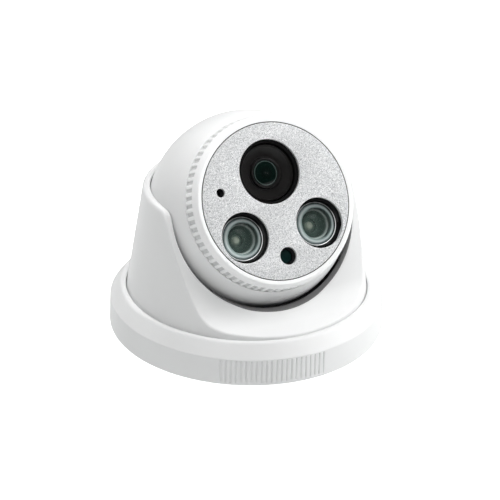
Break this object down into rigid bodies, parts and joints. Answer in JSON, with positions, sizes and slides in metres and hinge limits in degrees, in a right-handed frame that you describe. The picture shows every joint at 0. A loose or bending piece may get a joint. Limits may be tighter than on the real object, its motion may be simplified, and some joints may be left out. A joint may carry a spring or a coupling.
{
  "type": "turret security camera",
  "caption": "Turret security camera: a ball with a lens and infrared lamps in a flat face, held in a slanted cup that pans on a round ceiling base.",
  "frame": {"origin": "centre of the mounting plate's underside, on the surface that the camera is screwed to", "axes": "+Z away from the mounting surface, along the pan axis; the cup's opening and the camera's face look towards -Y; +X is the viewer's right"},
  "size_m": [0.11, 0.11, 0.0908],
  "materials": {
    "white_plastic": "satin-gloss white ABS",
    "black_plastic": "matt black",
    "grey_plastic": "matt dark grey",
    "rubber": "matt",
    "nylon": "natural, matt",
    "silver_plate": "fine sparkling silver",
    "steel": "zinc plated",
    "brass": "turned",
    "circuit_board": "green solder mask",
    "coated_glass": "anti-reflection coated",
    "filter_glass": "infrared-cut coated",
    "clear_lens": "clear, polished",
    "led_emitter": "phosphor and resin",
    "sensor_silicon": "polished die under cover glass",
    "sensor_resin": "dark teal resin"
  },
  "bodies": {
    "mounting_base": {"mounting_plate": "white_plastic", "cable_bush": "rubber", "pan_slip_ring": "nylon"},
    "lock_ring": {"lock_ring": "white_plastic"},
    "turret": {"turret_cup": "white_plastic", "ball_seat_ring": "grey_plastic", "ball_friction_ring": "rubber", "seat_screw_1": "steel", "seat_screw_2": "steel", "seat_screw_3": "steel"},
    "ball": {"ball_shell": "white_plastic", "front_seal": "rubber", "cable_gland": "rubber"},
    "camera_module": {"front_ring": "white_plastic", "face_plate": "silver_plate", "module_frame": "black_plastic", "frame_screw_1": "steel", "frame_screw_2": "steel", "frame_screw_3": "steel", "lens_trim_ring": "black_plastic", "led_emitter_left": "led_emitter", "led_lens_left": "clear_lens", "led_emitter_right": "led_emitter", "led_lens_right": "clear_lens", "led_board": "circuit_board", "main_board": "circuit_board", "image_sensor": "sensor_silicon", "ir_cut_housing": "black_plastic", "light_sensor": "sensor_resin", "light_sensor_sleeve": "rubber", "microphone": "steel", "microphone_boot": "rubber", "board_standoff_1": "brass", "board_screw_1": "steel", "board_standoff_2": "brass", "board_screw_2": "steel", "board_standoff_3": "brass", "board_screw_3": "steel", "board_standoff_4": "brass", "board_screw_4": "steel", "cable_header": "nylon"},
    "lens": {"lens_barrel": "black_plastic", "lens_front_glass": "coated_glass", "lens_rear_glass": "coated_glass"},
    "ir_filter": {"ir_filter_frame": "black_plastic", "ir_filter_glass": "filter_glass", "clear_filter_glass": "clear_lens"}
  },
  "joints": [
    {"name": "lock_ring_twist", "type": "hinge", "parent": "mounting_base", "child": "lock_ring", "pos_m": [0, 0, 0.009], "axis": [0, 0, 1], "range_deg": [0, 24]},
    {"name": "turret_pan", "type": "hinge", "parent": "mounting_base", "child": "turret", "pos_m": [0, 0, 0.0095], "axis": [0, 0, 1], "range_deg": [-180, 180]},
    {"name": "ball_tilt", "type": "hinge", "parent": "turret", "child": "ball", "pos_m": [0, 0, 0.0488], "axis": [-1, 0, 0], "range_deg": [-17, 58]},
    {"name": "module_roll", "type": "hinge", "parent": "ball", "child": "camera_module", "pos_m": [0, 0, 0.0488], "axis": [0, -0.848, 0.5299], "range_deg": [-180, 180]},
    {"name": "lens_focus", "type": "hinge", "parent": "camera_module", "child": "lens", "pos_m": [0, 0.00614, 0.05862], "axis": [0, -0.848, 0.5299], "range_deg": [-90, 90]},
    {"name": "ir_filter_slide", "type": "slide", "parent": "camera_module", "child": "ir_filter", "axis": [-1, 0, 0], "range_m": [0, 0.006]}
  ]
}
